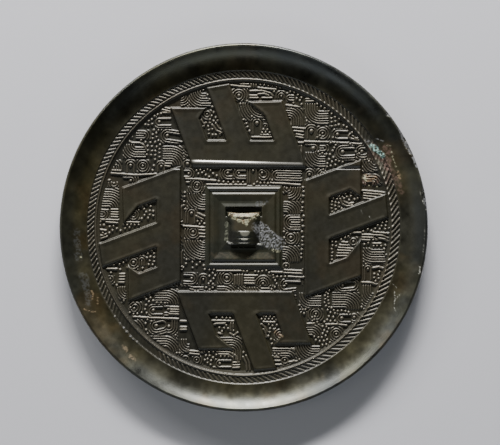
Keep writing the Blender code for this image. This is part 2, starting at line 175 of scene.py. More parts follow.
# Marks laid out one by one. A clear box takes the repeated block away from part of the field.
MARKS = (
    # upper right
    ("clear", (303.5, 97, 400, 183)),
    ("feather", (319, 110, -1, 1, 304.5, 104, 328.6, 125.4), (320, 152.6, -1, 1, 304.5, 152.4, 325.5, 168),
     (372, 184, 1, -1, 365, 174, 384, 190)),
    ("curl", (311, 132, 311, 150, 2.4, 304.5, 124.5, 315.6, 140.3),
     (322, 134, 322.1, 134, 1.4, 316.2, 126.3, 329.6, 140.3),
     (337, 135.4, 352, 135.4, 2, 331.5, 129.4, 348, 140.4),
     (313, 149.2, 300, 149.2, 2.4, 304.5, 144.6, 318.2, 153.2),
     (323.6, 148.8, 318, 148.8, 0, 318.6, 144.6, 328.6, 152.6),
     (309, 175, 309, 190, 1.6, 304.5, 168.4, 315, 181), (322, 175, 322, 190, 0, 315.4, 168.4, 327, 180),
     (342, 152.6, 352, 152.2, 2.2, 333.5, 144.4, 354.5, 161.5),
     (361, 152, 363, 152, 1.8, 355, 144.6, 366, 160)),
    ("feather", (376, 159, -1, 1, 361.3, 159, 381, 173)),
    ("stroke", ((349.5, 134.5), (347.6, 137), (350, 139.3), (358, 140.9)),
     ((352, 136.6), (354, 138.8), (357.3, 139.1)), ((303.8, 142.2), (330, 142.8), (361, 144.6)),
     ((305.5, 99.7), (310, 99.7)), ((305.5, 102), (313.5, 102))),
    ("bead", (316.8, 105), (320.7, 107.5), (324.4, 109.4), (328.3, 112.2), (331.2, 114.8), (334.6, 118.2),
     (338.7, 119.9), (331, 119.4), (331.2, 123), (331.3, 127.2), (334.8, 122.4), (335, 126.6),
     (338.2, 125.8), (343, 126.4), (346, 128.2), (306.4, 121.8), (317, 138.2), (319.4, 136.6),
     (332.6, 138.4), (351.3, 133.4), (330.2, 143.8), (336.8, 143.6), (335, 145.9), (333.7, 148.7),
     (332.2, 151.6), (318, 152.6), (321.8, 153.8), (326, 155), (329.4, 155.4), (332.8, 158.2), (328.6, 160),
     (335.3, 161), (338.4, 162), (342.2, 162.6), (331.5, 162.6), (327, 164.2), (334.8, 165.6),
     (330.2, 166.6), (326.6, 167.4), (322.6, 170), (355, 152.4), (358.2, 154.2), (349.5, 144.8),
     (364, 160.5), (368, 162)),
    # upper left
    ("clear", (108, 96, 184, 182)),
    ("feather", (137, 145.6, -1, 1, 123.5, 144.6, 147.2, 159.4), (171, 166, 1, -1, 163, 146, 184, 166.4)),
    ("curl", (144.5, 136.4, 130, 136.4, 0, 136.2, 130.2, 151.6, 140.4),
     (160, 122.8, 175, 122.8, 1.8, 155.6, 117.2, 172.4, 129),
     (168, 136.6, 185, 139, 2, 161, 129.8, 184, 144.6),
     (131.5, 166, 131.5, 180, 1.8, 125.6, 159.6, 136.6, 173.6),
     (143.5, 166.4, 143.6, 166.4, 1.4, 137.2, 160, 151.4, 173.4),
     (162, 167, 162, 180, 1.6, 157, 160.6, 166, 173), (113, 169.4, 108, 169.4, 0, 109, 160, 123.5, 172)),
    ("stroke", ((129.2, 141), (132.5, 143.3), (141, 143.6), (144.5, 145.6), (147.2, 150)),
     ((166, 164), (172, 164)), ((166, 166.4), (170.5, 166.8)), ((162, 107.6), (171, 110)),
     ((162, 110.2), (171, 112.4)), ((163, 113.4), (171, 113.6)), ((112, 170.8), (122, 171)),
     ((110, 173.3), (136, 175.4), (157, 174.4))),
    ("curl", (131.5, 181, 120, 181, 1.6, 123.5, 176.5, 140, 190)),
    ("bead", (158.3, 115.6), (161.6, 114.6), (155.2, 117.2), (152.3, 120.4), (149.3, 121.9), (145.8, 125.4),
     (149, 125.9), (152.8, 125), (154.4, 131), (159.2, 131), (157, 134), (153.3, 135.4), (157.2, 137.8),
     (153.3, 139.2), (159, 141.5), (132.6, 137.3), (142, 141), (146.2, 143), (151.2, 143.4), (155.8, 143),
     (160.6, 145.6), (148.4, 147), (152.5, 147.4), (157.2, 147.7), (160.3, 149.8), (148.4, 151.2),
     (152.7, 151.8), (156.2, 151.8), (160.1, 153.6), (147.6, 155.4), (151.9, 155.8), (155.9, 155.9),
     (160, 157.8), (155.8, 160.2), (154.6, 166.4), (153.4, 171), (115, 163.6), (117.2, 165.6)),
    # lower left
    ("clear", (108, 286, 190, 365)),
    ("feather", (167, 304.4, 1, -1, 155, 288, 179.6, 304.2), (165, 352, 1, -1, 150.5, 334.6, 179, 354),
     (189, 341.5, -1, 1, 179.5, 338, 192, 352.6), (128, 289, -1, 1, 117, 285, 127.5, 299.4),
     (131, 331, 1, -1, 131.5, 318.4, 146, 333)),
    ("curl", (154, 310, 170, 310, 2, 149, 303.6, 164, 316.2),
     (169, 309, 162, 309, 1.6, 164.4, 303.6, 170.4, 316),
     (157, 325.4, 163, 324, 2.2, 149.5, 318.6, 167.4, 334.2),
     (169.6, 326, 169.6, 318, 1.8, 167.6, 318.6, 178.6, 334.2),
     (186, 358.5, 186, 370, 1.8, 179.5, 353, 194, 366), (135, 308, 136, 307, 1.4, 129, 301, 144, 311.6)),
    ("stroke", ((171, 306.3), (179, 306.5)), ((171, 308.8), (179, 309)), ((171, 311.2), (179, 311.2)),
     ((169.5, 313.4), (179, 313.4)), ((134, 316), (150, 317), (179, 318.2)), ((181, 320.5), (187, 320.5)),
     ((181, 326.4), (187, 326.4)), ((181, 328.8), (187, 328.8))),
    ("bead", (145.5, 296), (151.2, 297.3), (147, 298.9), (149.6, 301.3), (153.7, 300.3), (146.7, 304.8),
     (145.8, 309), (142.6, 312), (147.3, 312.7), (157.5, 302.2), (161.8, 302.3), (165.8, 302.8),
     (131.4, 307), (130.6, 312), (134.4, 313.4), (138.2, 313.2), (125, 300.2), (122, 303), (150.5, 294),
     (146.5, 323), (147, 329.3), (148.3, 333.4), (148.2, 319), (152.2, 320.8), (176.2, 334.6),
     (177.4, 352.3), (180.4, 352.2), (171, 353), (174.4, 353.4)),
    # between and round the prongs of the top motif
    ("clear", (184, 80, 303.5, 140.5)),
    ("feather", (203, 92.5, -1, 1, 189, 91.5, 212, 108), (182, 97, 1, 1, 181, 96, 189, 108)),
    ("curl", (239, 96.6, 239.1, 96.6, 1.9, 231, 89.5, 248.6, 102.5)),
    ("stroke", ((230, 86), (240, 87.4), (250, 88)), ((240, 84.6), (249, 85)), ((251.2, 84), (251.2, 87.6)),
     ((253.6, 84), (253.6, 87.6)), ((256, 84), (256, 87.6)), ((258, 88.6), (266, 89.6), (276, 90.4)),
     ((250, 92), (262, 91.6), (270, 94), (273, 97)), ((258, 95), (264, 94.4), (269, 96.6)),
     ((250, 96.4), (257, 96.4)), ((250, 98.8), (258, 98.8)), ((262, 98.8), (272, 98.8)),
     ((293, 128.4), (304, 129.4)), ((294, 131.6), (303, 132.4)), ((296, 134.8), (303, 136)),
     ((296.4, 137.4), (303, 138.6)), ((252, 137.8), (271, 137.9))),
    ("bead", (203.5, 90.6), (208, 96), (210, 100.4), (212.6, 108), (207, 111), (211.2, 112), (214, 113.5),
     (204.5, 127), (208.6, 127.4), (209, 131), (213, 135.8), (216.2, 135.8), (220.4, 134.6), (209.2, 134.6),
     (260.6, 85.4), (264.4, 86), (268.4, 86.2), (272.4, 86.6), (276.4, 87.6), (280.2, 88.4), (233.6, 99),
     (247, 102.4), (301, 105.4)),
    ("feather", (262, 104, -1, 1, 239, 103.4, 268, 122)),
    ("curl", (207.4, 115, 207.5, 115, 1.2, 201, 110.5, 211.5, 121),
     (281, 97, 281, 104, 1.2, 275.5, 91.4, 286, 100), (289, 98.6, 296, 99, 0, 286, 95, 294.5, 103),
     (257, 124, 257, 145, 2.2, 250.4, 119.4, 262.6, 135.8),
     (265, 126.6, 263, 134, 0, 262.8, 121.6, 270, 128.8)),
    ("stroke", ((261, 135.4), (270, 135.4))),
    ("bead", (212, 117), (216, 118.6), (210.4, 120.6), (214, 122), (218, 121.4), (212.6, 126),
     (210.4, 123.8), (212.6, 130), (206.4, 123.6), (274, 92.6), (290, 92.6), (287, 94.4), (296.4, 99.6),
     (299.6, 101.6), (294, 93.4), (297.6, 96), (301, 98.6), (293, 104), (240.6, 105), (251.8, 117.4),
     (266.4, 119), (244, 120.6), (246.6, 124.6), (247.6, 128), (263.4, 130.2), (267.2, 130.4), (265.4, 133),
     (269.4, 133.4), (249.4, 132), (262, 133.4)),
    ("stroke", ((216, 124), (219, 128.6), (222, 130.6)), ((213.6, 126.4), (216.4, 131), (222, 133.4)),
     ((202, 121), (205, 125.6)), ((286, 106), (296, 107.4), (303, 110))),
    ("feather", (289, 121, 1, -1, 286, 108.5, 303.4, 127)),
    # outside the left motif and between its prongs
    ("clear", (96, 182, 162, 286)),
    ("stroke", ((106, 180.6), (111, 180.6)), ((101, 209.8), (109, 210)), ((112.4, 212), (119, 212.4)),
     ((112, 214.4), (119, 214.8)), ((112, 216.8), (119, 217.2)), ((107, 222), (118.6, 223)),
     ((101, 229.6), (107, 230.4)), ((98, 237), (107, 234)), ((99, 239.6), (108, 236.4)),
     ((126, 222), (140, 222.4)), ((120.4, 273.6), (125.6, 273.6)), ((120.4, 276.2), (125.6, 276.2)),
     ((120.2, 279), (125.4, 279)), ((119.6, 281.8), (125, 281.8))),
    ("bead", (105, 225.4), (110.6, 226.8), (114.6, 226.4), (104, 233), (110.4, 233.2), (118, 228.8),
     (121.6, 231), (124.6, 224.8), (128.2, 225), (132, 224.6), (135.6, 225), (126, 228.6), (113.6, 230.6),
     (139.4, 224.8), (130.4, 227.8), (148, 205), (151.6, 206.8), (143.6, 206.6), (145, 209.4), (154, 211.6),
     (150.6, 211.2), (145.4, 215.6), (148.8, 218.4), (146.8, 212.4), (150.4, 215), (153.8, 216),
     (152.6, 250.6), (154.6, 253.4), (148.6, 253.6), (151, 256.8), (147.8, 257.6), (154.8, 257.4),
     (154.8, 261.4), (145.8, 264.4), (149.4, 264.4), (153.4, 264.6), (150.4, 260.6), (143.4, 268),
     (115, 264.6), (121, 269.4), (112, 272.6), (106, 273), (108, 263.6), (120.4, 264)),
    ("curl", (115, 183.8, 115.6, 183.8, 1.2, 108, 182, 120, 188),
     (104, 214.4, 96, 214.4, 0, 99, 211, 110.6, 219),
     (134.4, 214.8, 134.5, 214.8, 0, 128.6, 209, 141, 220.8),
     (142.6, 260, 142.6, 270, 0, 139.6, 254.4, 146.8, 266),
     (134.4, 262.4, 134.5, 262.4, 1.8, 128.8, 257, 139.4, 270),
     (111, 278.6, 111.1, 278.6, 1.5, 106.6, 275, 116, 284.4)),
    ("feather", (109.6, 208.5, 1, -1, 100, 187.6, 120.5, 208.4)),
    ("stroke", ((112, 209.6), (119, 209.6)), ((101, 219.6), (112, 219.8), (119.6, 220)),
     ((107, 268.4), (118, 268.6))),
    ("bead", (101.4, 221.8), (101, 225.6), (98.6, 229), (142.6, 219), (128.4, 267.4), (127.6, 259.6),
     (117.6, 285), (124.4, 262.4)),
    # outside the right motif and between its prongs
    ("clear", (326, 186, 392, 284.5)),
    ("stroke", ((339.4, 199), (341.4, 204), (346, 206.2), (352, 205.4)),
     ((341.8, 197), (343.8, 202), (348, 203.8), (353, 203.2)), ((340, 194), (343, 191), (348, 189.8)),
     ((339, 244.8), (350, 245.4)), ((337, 250), (353, 250.8)), ((337, 252.8), (351, 253.2)),
     ((336, 255.6), (346, 255.6)), ((361, 190.8), (370, 191.4), (384, 193)), ((363, 193.4), (383, 195.2)),
     ((363, 196), (378, 197.6)), ((363, 198.6), (372, 199.4)), ((361.5, 237.2), (372, 237.4), (376, 240)),
     ((361.5, 239.8), (369, 240)), ((378, 238), (384, 239), (387.6, 241.6)), ((372, 243.2), (380, 243.4))),
    ("bead", (345, 194), (350.6, 192.8), (346.2, 197.4), (350.4, 196.6), (343.4, 199), (348.6, 200.6),
     (354, 199.8), (357, 198.6), (355.6, 195), (354.6, 190.8), (332.8, 198.4), (336.4, 199.4),
     (331.4, 201.8), (335, 202.8), (331.2, 205.2), (334.6, 206.2), (331, 208.6), (338.4, 207), (331.4, 212),
     (335, 209.8), (338.2, 203.6), (338.4, 196.4), (341, 208.8), (331.6, 241.6), (331.8, 245.4),
     (331.2, 249), (331.6, 252.6), (331.4, 256), (331.4, 259.6), (344.4, 237.6), (347.6, 236.4),
     (349.8, 233.8), (340.6, 239.6), (335.2, 242), (335.4, 246), (385.4, 222), (381.6, 222.8), (377, 225.4),
     (380.8, 226.2), (384.8, 225.8), (374.4, 228.8), (379, 229.4), (384.4, 229.2), (370.6, 231),
     (367, 229.4), (388, 228.6), (372.2, 239.8), (367.4, 243), (373, 246), (376.4, 245.8), (380.4, 246),
     (384.4, 245.4), (363.6, 244.4), (388.4, 246.2), (378.4, 271.4)),
    ("feather", (372, 245, -1, 1, 361.8, 247.4, 384.5, 264)),
    ("stroke", ((341, 241.8), (347, 242.4)), ((338, 247.4), (352, 248.4)), ((351, 232.4), (360, 232.6)),
     ((372, 232), (388, 233.4))),
    ("bead", (362.4, 231.4), (383.4, 249), (385, 255), (386, 259.4), (365, 264)),
    ("curl", (352.6, 241.6, 352.7, 241.6, 1.6, 347.6, 236.6, 358, 247),
     (367, 268.6, 367, 284, 1.4, 361.4, 264.6, 371.6, 280.4)),
    ("bead", (373.4, 273.8), (377.2, 274.8), (373.4, 277.4), (377.6, 278.2), (374.6, 281)),
    ("stroke", ((361.5, 234.6), (372, 234.8), (382, 235.4), (387, 238)),
     ((372, 267.6), (378, 266.4), (383, 268.4)), ((361, 281.8), (370, 282.2), (376, 284.2))),
    # between and round the prongs of the bottom motif
    ("clear", (190, 312, 296, 372)),
    ("feather", (231, 351, 1, -1, 218, 334.6, 242.6, 360), (287, 359.5, 1, -1, 272, 346.5, 298, 356.5)),
    ("bead", (216.8, 317.2), (222.8, 317.2), (226.8, 317.4), (230.4, 317.6), (215.2, 323.6), (233.8, 330),
     (261.4, 318.6), (265, 318.4), (268.6, 318.4), (272.2, 318.6), (276, 319.4), (264, 316), (266, 316.2),
     (270, 316), (274, 316.4), (209.4, 351.4), (213.8, 350.8), (216.6, 354), (206.4, 354.8), (210, 355),
     (213.4, 357), (208, 358.4), (211.6, 360), (221, 355.4), (225, 355.4), (228.8, 355.6), (208, 362),
     (211.2, 364), (214, 366.6), (243.6, 351.6)),
    ("stroke", ((213, 319.8), (234, 320.4)), ((216.4, 322.8), (226, 322.6)),
     ((233.4, 322.6), (233.4, 327.4)), ((230.4, 332.6), (234, 335), (238, 331.8)),
     ((263, 321), (275, 321.6)), ((188, 349.8), (196, 350.4), (204, 351.6)), ((190, 352.4), (200, 353.6)),
     ((217, 350.6), (230, 351.2), (236, 355), (238, 361)), ((219, 353), (229, 353.4), (233.4, 357)),
     ((243, 356), (246, 362), (247, 369)), ((246, 354.6), (249, 361), (250, 369)),
     ((274, 356.2), (279, 356.6)), ((275, 359.6), (280, 359.8)), ((276, 363.6), (283, 363.8))),
    ("curl", (197, 359, 197.1, 359, 1.2, 192, 354.8, 203.6, 365),
     (220, 362.6, 232, 362.6, 1.6, 214.8, 357.6, 232, 368),
     (284.6, 359.4, 284.7, 359.4, 1.3, 280.4, 355.6, 289, 365)),
    ("bead", (226.4, 324.8), (224.2, 327.6), (228.2, 328), (219.6, 327), (222, 330.8), (268.6, 323.8),
     (272.4, 325), (276.6, 324.6), (269.8, 328), (269.6, 331.6), (268.4, 335.4), (271, 338.8),
     (271.8, 343.2), (273.6, 328.4), (205.4, 359.4), (204.6, 366), (205, 350.4), (274.6, 352.8),
     (278.6, 353.4), (290, 363), (293.6, 360), (275, 366.8), (280, 366.8)),
    ("curl", (279.4, 334, 279.5, 334, 1.2, 273.4, 327, 285.6, 341)),
    ("stroke", ((231, 322.6), (231, 330)), ((218.6, 332.4), (222.4, 333)),
     ((261.6, 323.4), (265, 326.6), (267, 331)), ((263.6, 328.4), (265.6, 332.4), (266.4, 336)),
     ((233, 361.4), (239, 361.2)), ((233, 364), (239.6, 363.8)), ((233, 366.6), (239.6, 366.2))),
    # above the seat
    ("clear", (183, 168, 303, 186.5)),
    ("curl", (228, 173.6, 246, 173.6, 1.6, 219.5, 168.5, 233, 180),
     (239, 173.6, 250, 173.6, 1.2, 233.5, 168.5, 246.6, 180),
     (253, 171, 253, 190, 1.5, 247, 168.5, 258.4, 184),
     (262, 173.4, 263.5, 175, 1.5, 258.6, 168.5, 270.6, 181),
     (277, 175.8, 300, 176.4, 0, 271, 170, 302, 182.4)),
    ("stroke", ((186, 179), (200, 179.6), (216, 181)), ((187, 182.4), (198, 182.8)),
     ((207, 184.8), (246, 185.2)), ((270.5, 183.2), (286, 184), (300, 185.2))),
    ("curl", (197.5, 185.5, 197.5, 195, 1.4, 190, 180.5, 205, 200),
     (189, 174, 180, 174, 1.4, 184, 168.5, 195.5, 178)),
    ("bead", (197, 171), (200.8, 170.4), (204.4, 171.8), (198.6, 174.4), (202.4, 173.4), (206, 175.6),
     (210.8, 171), (213.4, 174.2), (217, 176.4), (208, 170), (209.4, 177.6), (219, 181.8), (223.6, 182.3),
     (228.3, 182.6), (233.3, 183), (238.3, 182.6), (243, 182.6), (257, 182.5), (260.6, 183.6),
     (264.2, 183.2), (267.8, 184), (272, 180.6), (254, 185)),
    # right of the seat
    ("clear", (281.5, 186.5, 304.5, 268)),
    ("feather", (283.5, 261, 1, -1, 282, 245, 300, 262)),
    ("curl", (287, 189, 287.1, 189, 1.5, 282.5, 186.5, 290, 194),
     (291, 222.4, 305, 222.4, 0, 283.5, 215, 300.5, 231.5),
     (290.6, 237.6, 290.7, 237.6, 1.8, 284.5, 232, 299.5, 244.5),
     (286, 266, 286.1, 266, 1.5, 282, 262, 290.5, 272)),
    ("feather", (288, 189, 1, 1, 287.5, 187, 301, 200.5), (286, 214, 1, -1, 283, 200.5, 301, 214.5)),
    ("bead", (302.5, 188), (303, 192), (302.6, 196.5), (302.2, 203), (302, 208), (301.8, 211.4),
     (303, 216.4), (302, 221), (302.3, 226.4), (301.5, 232), (302.3, 237.4), (302, 245), (301.5, 249.5),
     (301, 254), (300.8, 257.6), (284, 232), (284.3, 238), (301.8, 241.2)),
    # left of the seat
    ("clear", (183, 186.5, 206, 268)),
    ("curl", (197, 187, 196.8, 180, 1.5, 187, 186.5, 206, 194),
     (193.4, 232, 193.5, 232, 1.8, 184.5, 228, 199.6, 240)),
    ("feather", (204, 193, -1, 1, 187, 193, 206, 211), (204.5, 238, -1, 1, 184, 240, 205.6, 260)),
    ("curl", (192, 213.4, 191.4, 230, 1.8, 184.5, 208.5, 198.4, 224)),
    ("stroke", ((197.5, 213), (205.5, 216.6)), ((196.6, 216), (203.4, 219.4)),
     ((183.8, 226), (204.6, 227.4)), ((200, 230), (205, 230.4)), ((200, 233.6), (205, 234)),
     ((200, 236.6), (205, 237))),
    ("bead", (185.4, 193), (185, 197), (184.6, 202), (184.4, 205.6), (185.6, 209.4), (198, 221.5),
     (202, 221.5), (204.6, 224), (200, 224.4), (187, 259.4), (193, 262), (197, 265), (193, 268),
     (200.4, 262), (204, 265.4), (183.6, 267.6), (186.4, 263.6)),
    # below the seat
    ("clear", (183, 268, 302, 284.5)),
    ("curl", (192, 278, 176, 277.4, 1.6, 183.5, 272, 198.4, 284.5),
     (203.6, 279, 203.6, 292, 1.4, 198.6, 272.6, 207.6, 284.5),
     (227, 277.6, 227.1, 277.6, 1.9, 217, 272, 233.4, 284.5),
     (263, 283.4, 263, 300, 1.6, 254.5, 274, 271, 284.5),
     (286, 284, 300, 284.4, 1.5, 279.5, 278.4, 301, 284.5)),
    ("stroke", ((217, 270.4), (241.4, 270.4)), ((235, 275), (235, 284)), ((237.4, 274.4), (237.4, 284)),
     ((239.8, 274.4), (239.8, 284)), ((242.2, 274.4), (242.2, 284)), ((244.5, 275), (256, 275.2)),
     ((244.5, 277.6), (254, 277.8)), ((244.5, 280.2), (254, 280.4)), ((244.5, 282.8), (254, 283)),
     ((271, 271.6), (282, 272)), ((284, 269.6), (301, 270.6)), ((284, 272.4), (301, 273.2)),
     ((288, 276.2), (301, 277))),
    ("bead", (205, 269.2), (209.6, 269.6), (214, 269.4), (213, 273), (215.4, 275.4), (214, 278.6),
     (211, 281.4), (213.2, 284), (209, 283.6), (209.6, 276), (243.6, 271), (247, 271), (255, 271),
     (258.4, 271.6), (262, 271), (266.2, 270.4), (269, 272.6), (273, 275), (273.4, 277.4), (277, 276.6),
     (281, 276.6), (285, 276.4), (275, 280.4), (276.4, 283.6)),
    # lower right
    ("clear", (296, 284.5, 384, 362)),
    ("feather", (311, 293.4, -1, 1, 298.5, 292, 321.4, 307.8),
     (344, 308.6, 1, -1, 331.4, 291.4, 359.6, 309.2), (372, 291, -1, 1, 360.4, 284, 376, 307.6),
     (311, 336, 1, -1, 305.6, 322.6, 321.6, 336)),
    ("curl", (315.5, 313.6, 315.6, 313.6, 1.4, 307, 307.8, 323.4, 320.6),
     (303.6, 313, 303.6, 322, 1.4, 299, 307.8, 307, 322),
     (341, 317.6, 354, 317.6, 2, 336, 312.4, 350.6, 323),
     (353.4, 316.8, 353.5, 316.8, 1.8, 350.8, 311.6, 360, 323),
     (335.6, 333.4, 335.7, 333.4, 1.4, 329.6, 325.6, 343, 341.6),
     (342, 285, 352, 284, 1.6, 333, 276, 358, 291.2)),
    ("stroke", ((291, 347.4), (296, 350), (300, 355)), ((288, 361), (298, 360)),
     ((325, 323.6), (336, 323.4), (346, 324.6)), ((306.5, 322.8), (314, 322.6))),
    ("feather", (312, 343.4, -1, 1, 295, 343, 320, 359)),
    ("bead", (328.6, 290), (325.6, 292.2), (327.4, 293.6), (324.4, 295.4), (327.4, 296.8), (324.8, 298.8),
     (327.8, 300.4), (324.3, 302.3), (328.3, 303.4), (325.4, 305.6), (328.6, 306.7), (331, 307.4),
     (327.2, 309.6), (333.2, 309.8), (337.2, 310.5), (341, 310.2), (344.9, 310.9), (348, 311.8),
     (330, 312.1), (334.3, 313), (328.3, 316), (332.7, 316.7), (326.6, 319.4), (329.8, 320.6),
     (334.2, 320.4), (311.8, 316.8), (314.6, 316.2), (312, 320.2), (314, 319), (317, 321.6), (323.8, 321.4),
     (322.2, 326), (325.8, 326), (328, 328), (323.6, 329.8), (326.6, 331.4), (322.2, 333), (325, 335.2),
     (313.8, 336), (318, 336.8), (321.4, 336.6), (315.4, 339.6), (319.2, 340.6), (323.2, 340.4),
     (326.4, 339), (329.4, 342), (331.2, 343), (325.6, 343.6), (322, 344.4), (299.4, 304.8), (302.6, 309.2),
     (305, 309), (361, 306.8), (363.2, 308.8), (299, 358.6)),
)

# Crusts, stains and scratches: tint, strength, half width and the line that each follows in
# pixels of the photograph, and how far it stands up in millimetres
TINTS = {
    "cream": (0.34, 0.335, 0.22),
    "white": (0.62, 0.62, 0.56),
    "grey": (0.15, 0.153, 0.16),
    "turquoise": (0.22, 0.38, 0.34),
    "red": (0.09, 0.045, 0.03),
    "tan": (0.27, 0.185, 0.10),
    "slate": (0.075, 0.085, 0.1),
    "green": (0.1, 0.105, 0.07),
}
ROPE_DOTS_PX = ((116, 316), (121, 323), (125, 327), (128, 331), (131, 335), (134, 338), (138, 341))
# Besides crusts, stains and scratches, some of these are painted highlights and painted light, marked where
# they stand.
STAINS_AND_PAINTED_LIGHT = (
    # seat and knob
    ("grey", 1.0, 8.5, ((262, 230), (276, 243)), 0.16),
    ("grey", 0.8, 3.2, ((253, 225), (261, 233)), 0.1),
    ("cream", 0.7, 1.6, ((273, 250), (279, 251)), 0.15),
    # Painted highlight along the knob's left foot, then pale crust with painted highlights at the corners
    # of its feet.
    ("green", 0.9, 2.0, ((227, 223), (227, 240)), 0.1),
    ("white", 1.0, 1.3, ((228, 242.4), (232, 243.4)), 0.3),
    ("white", 1.0, 1.1, ((257.5, 244), (261.5, 244.6)), 0.3),
    # A faint painted light, warmer and lighter, along the seat's slope below the knob.
    ("tan", 0.07, 3.2, ((212, 255), (274, 256)), 0.0),
    ("slate", 0.3, 2.5, ((258, 204), (266, 202)), 0.0),
    # right of the rim
    ("red", 0.75, 4.6, ((385, 149), (387, 168)), 0.06),
    ("red", 0.5, 3.0, ((395, 178), (399, 192)), 0.0),
    ("red", 0.45, 6.0, ((372, 150), (390, 178)), 0.12),
    ("green", 0.6, 3.0, ((376, 162), (384, 176)), 0.1),
    ("grey", 0.5, 2.2, ((365, 141), (371, 147)), 0.12),
    ("turquoise", 1.0, 2.9, ((371, 147), (381.5, 156)), 0.16),
    ("cream", 0.9, 0.9, ((385.5, 146), (389, 147)), 0.08),
    ("cream", 0.8, 0.6, ((390, 152), (391.5, 158), (394, 164)), 0.05),
    ("cream", 0.9, 0.8, ((394.5, 167), (394.6, 167.2)), 0.05),
    ("cream", 0.9, 0.8, ((396, 170.5), (396.2, 170.6)), 0.05),
    ("cream", 0.8, 0.8, ((393, 154.5), (393.2, 154.6)), 0.05),
    ("tan", 0.6, 1.5, ((397, 173), (398, 178)), 0.05),
    ("grey", 0.8, 0.6, ((375, 139), (382, 142)), 0.0),
    ("red", 0.8, 5.5, ((367, 180), (375, 181)), 0.1),
    ("tan", 0.9, 3.6, ((366, 178.5), (374, 180)), 0.2),
    ("cream", 0.8, 1.8, ((363, 176.5), (364.5, 180)), 0.15),
    ("cream", 0.9, 0.8, ((368, 186), (368.2, 186.1)), 0.1),
    ("cream", 0.9, 0.8, ((376, 187), (376.2, 187.1)), 0.1),
    ("grey", 0.9, 0.6, ((410, 158), (414, 168)), 0.0),
    # Painted glints near the lip.
    ("cream", 0.9, 0.8, ((417.5, 177), (417.7, 177.2)), 0.0),
    ("cream", 0.9, 0.8, ((420, 193), (420.1, 193.3)), 0.0),
    ("white", 0.45, 0.5, ((393.2, 290.5), (393.6, 299), (392.3, 306), (393.6, 309.5)), 0.0),
    ("white", 0.3, 0.45, ((394, 298.5), (399.5, 293)), 0.0),
    ("white", 0.3, 0.45, ((391.5, 283.5), (395.2, 287)), 0.0),
    ("white", 0.5, 0.5, ((360, 210.5), (361.5, 213.5)), 0.0),
    ("white", 0.4, 0.5, ((368.5, 216.5), (370, 218.5)), 0.0),
    # painted highlights along the lip's inner side
    ("white", 0.35, 0.4, ((417.5, 190), (420.3, 201), (423.5, 210)), 0.0),
    ("white", 0.3, 0.35, ((422.7, 222), (422.4, 240), (420.5, 256)), 0.0),
    ("white", 0.5, 0.7, ((417.8, 266), (417.2, 273)), 0.0),
    ("white", 0.35, 0.4, ((216, 47.8), (226, 46.6), (237, 46)), 0.0),
    # beside the bottom motif's right prong
    ("tan", 0.5, 2.3, ((275.5, 331), (280.5, 335)), 0.1),
    ("red", 0.7, 1.3, ((277.5, 333), (278.5, 335.5)), 0.0),
    # left of the rim
    ("slate", 0.3, 3.4, ((78, 232), (80, 258)), 0.0),
    ("slate", 0.3, 3.8, ((85, 274), (91, 303)), 0.0),
    ("cream", 0.9, 1.0, ((82, 257), (82.2, 257.2)), 0.05),
    ("tan", 0.55, 0.8, ((93, 290), (95, 294), (94, 298)), 0.05),
    ("tan", 0.5, 0.8, ((86, 308), (92, 310), (97, 311)), 0.05),
    ("tan", 0.4, 0.8, ((99, 296), (99, 303)), 0.05),
    ("tan", 0.3, 1.9, ((124.5, 345), (127.5, 349)), 0.05),
    ("tan", 0.3, 1.9, ((132, 355), (136, 358)), 0.05),
    # dots outside the worn part of the rope band
    *(("grey", 0.8, 1.1, ((px, py), (px + 0.2, py + 0.2)), 0.3) for px, py in ROPE_DOTS_PX),
)

# Lower edge of the pale crust over the knob's front, as x and y in millimetres
KNOB_CRUST = ((-6.1, 4.7), (-4.2, 3.2), (-1.5, 2.0), (1.2, 0.5), (2.4, 2.4), (4.7, 3.7), (7.0, 4.7))

# Painted highlights on the crown's ridges, given as pale worn spots: middle in x and y, and radius
KNOB_RIDGE_HIGHLIGHTS = ((0.45, -1.75, 1.9), (0.3, -4.1, 1.3))

# Tones of the bronze, and what the seat, the rim and the wall multiply them by. The ground's tops, the top
# motif's crest and the knob's ridges carry painted highlights; the rim's inner and outer factors are
# painted light and shade.
DARK = np.array([0.014, 0.0135, 0.0075])
OLIVE = np.array([0.0235, 0.021, 0.0088])
BROWN = np.array([0.0255, 0.0193, 0.0075])
GROUND_TOPS_WEAR_AND_SHEEN = np.array([0.19, 0.17, 0.13])
POLISHED_CREST_HIGHLIGHT = np.array([0.5, 0.49, 0.45])
KNOB_CROWN = np.array([0.05, 0.041, 0.019])
KNOB_RIDGE_HIGHLIGHT_TONE = np.array([0.36, 0.35, 0.28])
FACE_DARK = np.array([0.06, 0.062, 0.045])
FACE_PALE = np.array([0.105, 0.095, 0.06])
SEAT_TONE = np.array([0.9, 1.04, 0.92])
RIM_LEFT = np.array([2.6, 2.7, 3.3])
RIM_RIGHT = np.array([2.6, 2.85, 4.3])
RIM_INNER_PAINTED_LIGHT = np.array([1.12, 1.06, 0.92])
RIM_OUTER_PAINTED_SHADE = np.array([0.9, 0.94, 1.05])
WALL_SHADE = 0.7
CRUST_ROUGH = 0.75
CRUST_METAL = 0.05

# Attributes of the mesh that the material reads: name, output and the shader's socket
LOOK_LAYERS = (
    ("patina_and_painted_light", "Color", "Base Color"),
    ("roughness", "Fac", "Roughness"),
    ("metal", "Fac", "Metallic"),
)
GRAIN_SCALE = 2200
GRAIN_DEPTH = 0.06

